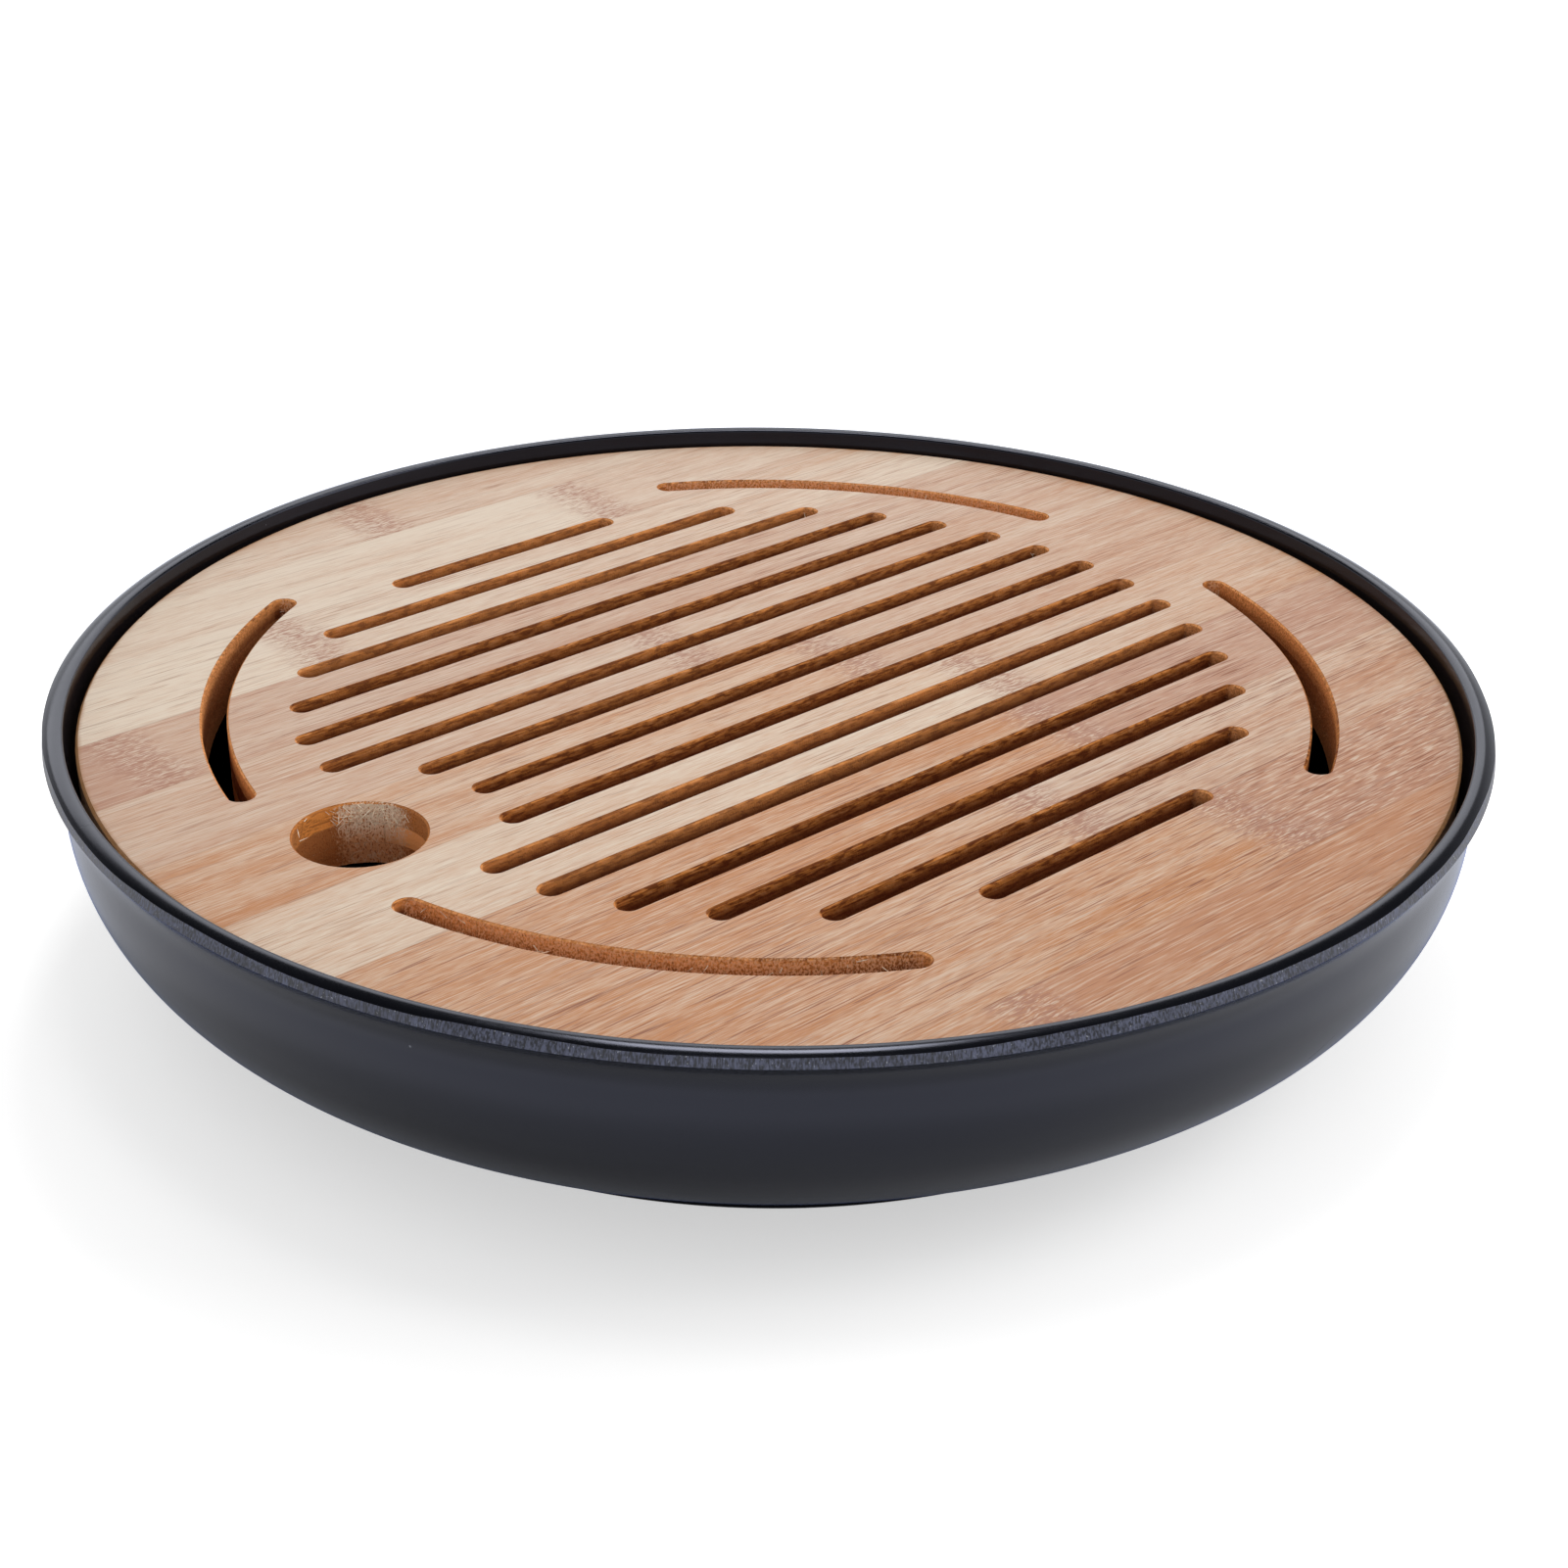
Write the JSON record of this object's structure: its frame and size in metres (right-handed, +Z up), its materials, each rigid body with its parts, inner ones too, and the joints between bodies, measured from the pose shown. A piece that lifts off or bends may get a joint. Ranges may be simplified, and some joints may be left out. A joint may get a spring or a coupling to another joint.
{
  "type": "tea tray",
  "caption": "Round draining tea tray: slotted bamboo board with a finger hole, lifting out of a shallow dark basin on a foot ring.",
  "frame": {"origin": "centre of the foot ring's underside, on the surface that the tray stands on", "axes": "+Z up, +X along the board's straight slots, away from the finger hole"},
  "size_m": [0.27, 0.27, 0.0526],
  "materials": {
    "melamine": "satin dark grey melamine",
    "bamboo_top": "sanded and oiled bamboo, grain along X",
    "bamboo_core": "milled bamboo, grain along Y",
    "bamboo_base": "sanded bamboo, grain along X"
  },
  "bodies": {
    "basin": {"basin": "melamine"},
    "board": {"top_strip_01": "bamboo_top", "top_strip_02": "bamboo_top", "top_strip_03": "bamboo_top", "top_strip_04": "bamboo_top", "top_strip_05": "bamboo_top", "top_strip_06": "bamboo_top", "top_strip_07": "bamboo_top", "top_strip_08": "bamboo_top", "top_strip_09": "bamboo_top", "top_strip_10": "bamboo_top", "top_strip_11": "bamboo_top", "core_strip_01": "bamboo_core", "core_strip_02": "bamboo_core", "core_strip_03": "bamboo_core", "core_strip_04": "bamboo_core", "core_strip_05": "bamboo_core", "core_strip_06": "bamboo_core", "core_strip_07": "bamboo_core", "core_strip_08": "bamboo_core", "core_strip_09": "bamboo_core", "core_strip_10": "bamboo_core", "core_strip_11": "bamboo_core", "base_strip_01": "bamboo_base", "base_strip_02": "bamboo_base", "base_strip_03": "bamboo_base", "base_strip_04": "bamboo_base", "base_strip_05": "bamboo_base", "base_strip_06": "bamboo_base", "base_strip_07": "bamboo_base", "base_strip_08": "bamboo_base", "base_strip_09": "bamboo_base", "base_strip_10": "bamboo_base", "base_strip_11": "bamboo_base"}
  },
  "joints": [
    {"name": "board_lift", "type": "slide", "parent": "basin", "child": "board", "axis": [0, 0, 1], "range_m": [0, 0.06]}
  ]
}
